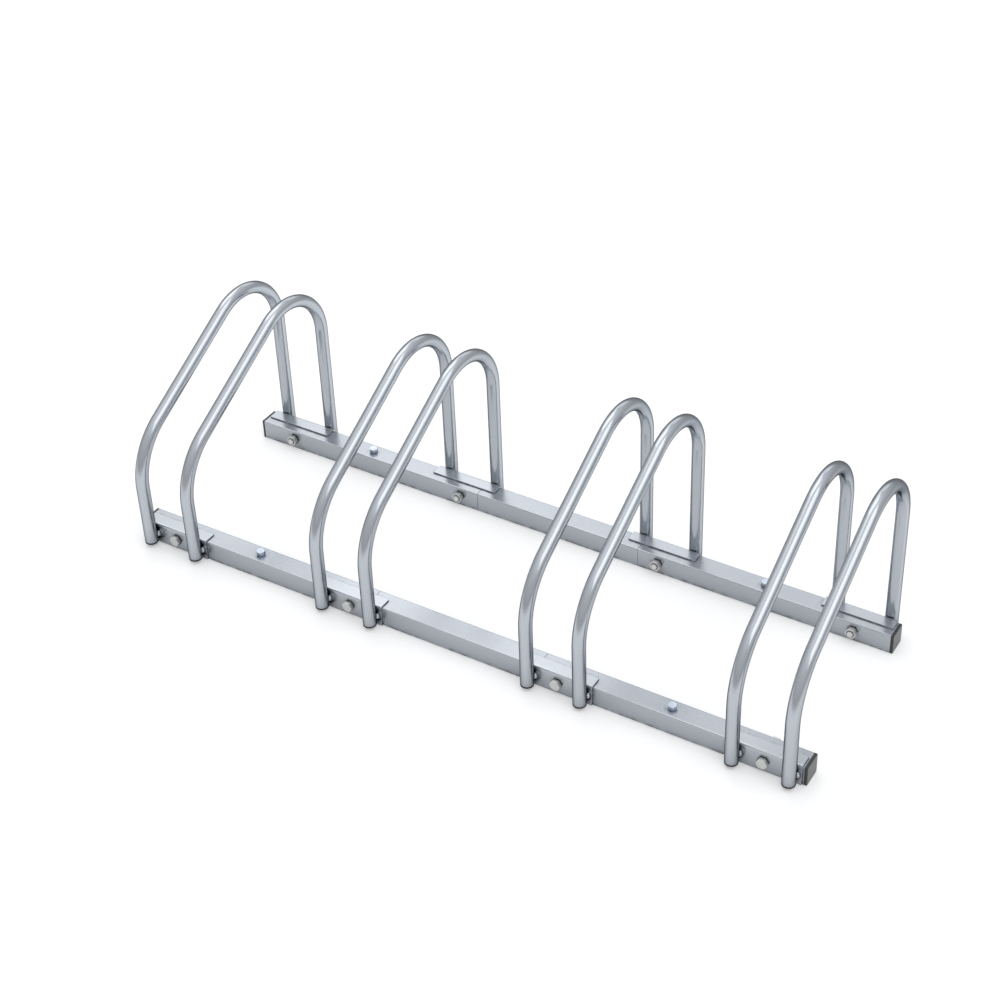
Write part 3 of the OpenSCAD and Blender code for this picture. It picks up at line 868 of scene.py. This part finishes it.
# %% Weld beads
BRACKET_Y = float(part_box("bracket_rear_1")[1][1]) / MM
WELD_R = 3.0
WELD_HALF_L = 4.2
WELD_Z = 16.4
WELD_COINS = 4.0
WELD_RIPPLE = 0.42
WELD_LEAN = 0.20
WELD_VALLEY = 0.7
WELD_MEAN = 0.6
WELD_FADE = 6
WELD_ROWS = 49
WELD_SIDES = 28
WELD_SEAT_R = WELD_R / 2
WELD_X = 2 * np.sqrt(TUBE_R * WELD_SEAT_R)
WELD_Y = BRACKET_Y + WELD_SEAT_R


def weld_surface(x_mm, side_x, side_y):
    """A spindle that stands upright. Along t from -1 to 1 its radius is the square root of 1 less t
    squared, times a ripple: one plus a share of the size of a sine, raised to a power and less its
    mean. The sine's phase is made of t and of the angle, and the ripple fades out towards the ends."""
    t = np.sin(np.linspace(-np.pi / 2, np.pi / 2, WELD_ROWS))
    angle, angle_closed = ring_values(WELD_SIDES)
    swell = np.maximum(1 - t ** 2.0, 0) ** 0.5
    outward = -side_y
    phase = t[:, None] * WELD_COINS / 2 + WELD_LEAN * np.sin(angle)[None, :]
    coins = np.abs(np.sin(np.pi * phase)) ** WELD_VALLEY - WELD_MEAN
    ripple = 1 + WELD_RIPPLE * coins * (1 - t[:, None] ** WELD_FADE)
    radius = WELD_R * swell[:, None] * ripple
    x = x_mm + side_x * WELD_X + radius * np.cos(angle)[None, :]
    y = side_y * WELD_Y + outward * radius * np.sin(angle)[None, :]
    y = np.where(side_y < 0, np.minimum(y, -BRACKET_Y), np.maximum(y, BRACKET_Y))
    z = WELD_Z + WELD_HALF_L * t[:, None] + 0 * angle[None, :]
    grid = np.stack([x, y, z], axis=-1) * MM
    return surface(grid, t * WELD_HALF_L * MM, angle_closed * WELD_R * MM)


def make_hoop(node):
    """The tube and its four beads as one piece: material 0 on the tube, material 1 on the beads."""
    x_mm, _ = middle_mm(node)
    tube = hoop_surface(x_mm)
    beads = joined([weld_surface(x_mm, side_x, side_y) for side_x in (-1, 1) for side_y in (-1, 1)])
    points, quads, corner_uv = joined([tube, beads])
    index = np.concatenate([np.zeros(len(tube[1])), np.ones(len(beads[1]))])
    mesh = make_mesh(node + "_bent_tube", points, quads, corner_uv, index, HOOP_SHARP_DEGREES)
    return add_piece(node + "_bent_tube", mesh, [tube_steel, weld_steel], node)


hoops = [make_hoop(n) for n in nodes_of("hoop")]
print("hoops:", len(hoops), "with", len(hoops[0].data.polygons), "faces each")

# %% [markdown]
# ## Bolts, nuts and anchor screws
#
# A hexagon head is a hexagonal bar, turned to a shallow cone at the top. Where the cone meets the flat
# sides it leaves curved edges that dip towards the corners. The distance from the axis to a flat side
# is half the width across flats divided by the cosine of the angle from the middle of that side. Its
# excess over the crown's radius says how far the cone has dropped there, so a few rows are enough.

# %% Hexagon heads
HEX_STEPS = 96
CHAMFER_SLOPE = np.tan(np.radians(30.0))
HEX_SHARP_DEGREES = 28.0
CORNER_SHARE = 0.03
CORNER_KEPT = 0.25
# Small steps of a head's outline, in millimetres: of the underside, of an edge and of the crown.
UNDER_STEP = 0.2
EDGE_STEP = 0.05
CROWN_STEPS = (0.02, 0.35)


def hex_reach(angle, af):
    """Distance from the axis to the side of a hexagon whose corners lie at angle 0, 60, ..."""
    from_side = np.mod(angle, np.pi / 3) - np.pi / 6
    return af / 2 / np.cos(from_side)


def soft_hex(angle, af):
    """The hexagon's reach with blunt corners: of what goes beyond the last share of the reach to a
    corner, only a part is kept."""
    reach = hex_reach(angle, af)
    limit = af / 2 / np.cos(np.pi / 6) * (1 - CORNER_SHARE)
    return np.where(reach > limit, limit + (reach - limit) * CORNER_KEPT, reach)


def head_profile(af, base_z, top_z, crown_r, under):
    """Rows of radius and height for a hexagon block, from its underside to its crown, each an array
    over the angle. Near the top, height drops with the reach beyond crown_r times the chamfer's slope,
    and so it does under a nut that is chamfered on both sides."""
    angle, _ = ring_values(HEX_STEPS)
    reach = soft_hex(angle, af)
    over = np.maximum(reach - crown_r, 0)
    crown = np.minimum(reach, crown_r)
    drop = over * CHAMFER_SLOPE
    rise = drop if under else 0 * drop
    flat = 0 * angle
    return [(crown if under else reach - UNDER_STEP, base_z + flat),
            (reach, base_z + rise + EDGE_STEP), (reach, top_z - drop - EDGE_STEP),
            (crown - CROWN_STEPS[0], top_z + flat - CROWN_STEPS[0]),
            (crown - CROWN_STEPS[1], top_z + flat)]


def turned(rows, axis_point, axis, across, count=HEX_STEPS):
    """A grid from rows of radius and height about an axis. Row k, angle a is the axis point plus height
    along the axis plus radius times cos(a) across and sin(a) square to both."""
    angle, angle_closed = ring_values(count)
    radius = np.stack([np.broadcast_to(r, angle.shape) for r, _ in rows])
    height = np.stack([np.broadcast_to(h, angle.shape) for _, h in rows])
    axis, across = np.array(axis, float), np.array(across, float)
    other = np.cross(axis, across)
    grid = (np.array(axis_point) + height[..., None] * axis
            + radius[..., None] * (np.cos(angle)[:, None] * across + np.sin(angle)[:, None] * other))
    u = radius.mean(axis=1) * MM
    return surface(grid * MM, u, angle_closed * MM)


print("across corners of a 13 mm hexagon:", round(float(hex_reach(0.0, 13.0) * 2), 2), "mm")

# %% [markdown]
# A screw thread is a groove that climbs by one pitch for each turn. On a grid with rows along the axis,
# it is a radius that depends on height over pitch less angle over a full turn, taken round a triangle
# wave. The thread fades in over a turn and ends in a small cone, as on a real bolt.

# %% Bolts
BOLT_D = 8.0
BOLT_AF = 13.0
BOLT_HEAD_H = 5.3
NUT_H = 6.5
FACE_H = 0.6
BOLT_TIP = 1.5
BOLT_Z = 15.5
BOLT_GRIP = 30.0
THREAD_PITCH = 1.25
THREAD_DEPTH = 0.62
THREAD_L = 14.0
SHANK_L = BOLT_GRIP + FACE_H + NUT_H + BOLT_TIP
BOLT_CONE = 0.7
THREAD_ROWS = 8
# The triangle wave is stretched and lowered, so that roots and crests are flat.
THREAD_STRETCH = 1.25
THREAD_DROP = 0.12
FACE_R = BOLT_AF * 0.45
FACE_CHAMFER = (0.15, 0.12)
FACE_ROWS = [(FACE_R - FACE_CHAMFER[0], 0.0), (FACE_R, FACE_CHAMFER[1]), (FACE_R, FACE_H)]
# Crown radius of a head and of a nut, and radius of the dish in a head, as shares of the width.
HEAD_CROWN = 0.53
NUT_CROWN = 0.515
DISH_SHARE = 0.40
# Depth of the dish at its rim and in its middle.
BOLT_DISH = (0.05, 0.12)


def shank_rows(length, thread_from, radius, pitch, depth, tip):
    """Rows from under the head to the tip. The groove is a triangle wave between 0 and 1 times depth,
    it fades in from thread_from over one pitch, and the last stretch runs down a cone to the tip."""
    angle, _ = ring_values(HEX_STEPS // 2)
    plain = np.linspace(0, thread_from, 4)[:-1]
    fine = np.arange(thread_from, length - 1e-9, pitch / THREAD_ROWS)
    h = np.concatenate([plain, fine, [length]])
    turn = h[:, None] / pitch - angle[None, :] / (2 * np.pi)
    wave = 1 - np.abs(2 * np.mod(turn, 1.0) - 1)
    fade_in = np.clip((h[:, None] - thread_from) / pitch, 0, 1)
    groove = depth * np.clip(wave * THREAD_STRETCH - THREAD_DROP, 0, 1) * fade_in
    cone = radius - np.clip(h - (length - tip), 0, None)[:, None]
    r = np.minimum(radius - groove, cone)
    rows = [(row, np.full(len(angle), value)) for row, value in zip(r, h)]
    rows.append((np.full(len(angle), 0.0), np.full(len(angle), length)))
    return rows


def make_bolt(node):
    """A hex bolt along Y: washer face, head, shank and threaded end, in the place of its solid."""
    x, y = middle_mm(node)
    front = y < 0
    face_y, axis = (-BRACKET_Y, (0, -1, 0)) if front else (BRACKET_Y, (0, 1, 0))
    start = (x, face_y, BOLT_Z)
    crown_h = FACE_H + BOLT_HEAD_H
    head = head_profile(BOLT_AF, FACE_H, crown_h, BOLT_AF * HEAD_CROWN, under=False)
    dish = [(BOLT_AF * DISH_SHARE, crown_h - BOLT_DISH[0]), (0.0, crown_h - BOLT_DISH[1])]
    top = turned([(0.0, 0.0)] + FACE_ROWS + head + dish, start, axis, (1, 0, 0))
    inwards = tuple(-a for a in axis)
    shank = turned(shank_rows(SHANK_L, SHANK_L - THREAD_L, BOLT_D / 2, THREAD_PITCH, THREAD_DEPTH,
                              BOLT_CONE),
                   start, inwards, (1, 0, 0), HEX_STEPS // 2)
    mesh = make_mesh(node + "_hex_bolt", *joined([top, shank]), sharp_degrees=HEX_SHARP_DEGREES)
    return add_piece(node + "_hex_bolt", mesh, [bolt_zinc], node)


bolts = [make_bolt(n) for n in nodes_of("bolt")]
print("bolts:", len(bolts), "with", len(bolts[0].data.polygons), "faces each")

# %% Nuts
RAIL_INNER_Y = float(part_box("rail_rear_left")[0][1]) / MM
NUT_FIT = 0.1
SINK = 0.8
SINK_RIM = 0.9


def make_nut(node):
    """A hex nut along Y, chamfered on both sides, with a countersunk bore: its rows go up the outside,
    over the crown and down the bore, and close on themselves."""
    x, y = middle_mm(node)
    front = y < 0
    seat_y, axis = (-RAIL_INNER_Y, (0, 1, 0)) if front else (RAIL_INNER_Y, (0, -1, 0))
    bore = BOLT_D / 2 + NUT_FIT
    top = FACE_H + NUT_H
    rows = [(bore, 0.0)] + FACE_ROWS
    rows += head_profile(BOLT_AF, FACE_H, top, BOLT_AF * NUT_CROWN, under=True)
    rows += [(bore + SINK_RIM, top), (bore + SINK, top - EDGE_STEP), (bore, top - SINK), (bore, 0.0)]
    mesh = make_mesh(node + "_hex_nut", *turned(rows, (x, seat_y, BOLT_Z), axis, (1, 0, 0)),
                     sharp_degrees=HEX_SHARP_DEGREES)
    return add_piece(node + "_hex_nut", mesh, [bolt_zinc], node)


nuts = [make_nut(n) for n in nodes_of("nut")]
print("nuts:", len(nuts), "with", len(nuts[0].data.polygons), "faces each")

# %% Anchor screws
RAIL_TOP = 28.0
ANCHOR_D = 6.0
ANCHOR_AF = 10.0
ANCHOR_HEAD_H = 6.0
ANCHOR_PLAIN_L = 6.0
ANCHOR_PITCH = 2.0
ANCHOR_DEPTH = 0.6
ANCHOR_CONE = 0.3
ANCHOR_DISH = (0.04, 0.10)


def make_anchor(node):
    """A hex head on top of the rail, and a coarse-threaded shank down to the floor."""
    start = (*middle_mm(node), RAIL_TOP)
    head = head_profile(ANCHOR_AF, 0.0, ANCHOR_HEAD_H, ANCHOR_AF * HEAD_CROWN, under=False)
    dish = [(ANCHOR_AF * DISH_SHARE, ANCHOR_HEAD_H - ANCHOR_DISH[0]),
            (0.0, ANCHOR_HEAD_H - ANCHOR_DISH[1])]
    top = turned([(0.0, 0.0)] + head + dish, start, (0, 0, 1), (1, 0, 0))
    rows = shank_rows(RAIL_TOP, ANCHOR_PLAIN_L, ANCHOR_D / 2, ANCHOR_PITCH, ANCHOR_DEPTH, ANCHOR_CONE)
    shank = turned(rows, start, (0, 0, -1), (1, 0, 0), HEX_STEPS // 2)
    mesh = make_mesh(node + "_hex_screw", *joined([top, shank]), sharp_degrees=HEX_SHARP_DEGREES)
    return add_piece(node + "_hex_screw", mesh, [anchor_zinc], node)


anchors = [make_anchor(n) for n in nodes_of("anchor")]
print("anchor screws:", len(anchors), "with", len(anchors[0].data.polygons), "faces each")

# %% [markdown]
# ## Finish
#
# The picture is shown with the Standard view transform, so a colour comes out as it was written.

# %% Close the scene
bpy.context.scene.view_settings.view_transform = "Standard"
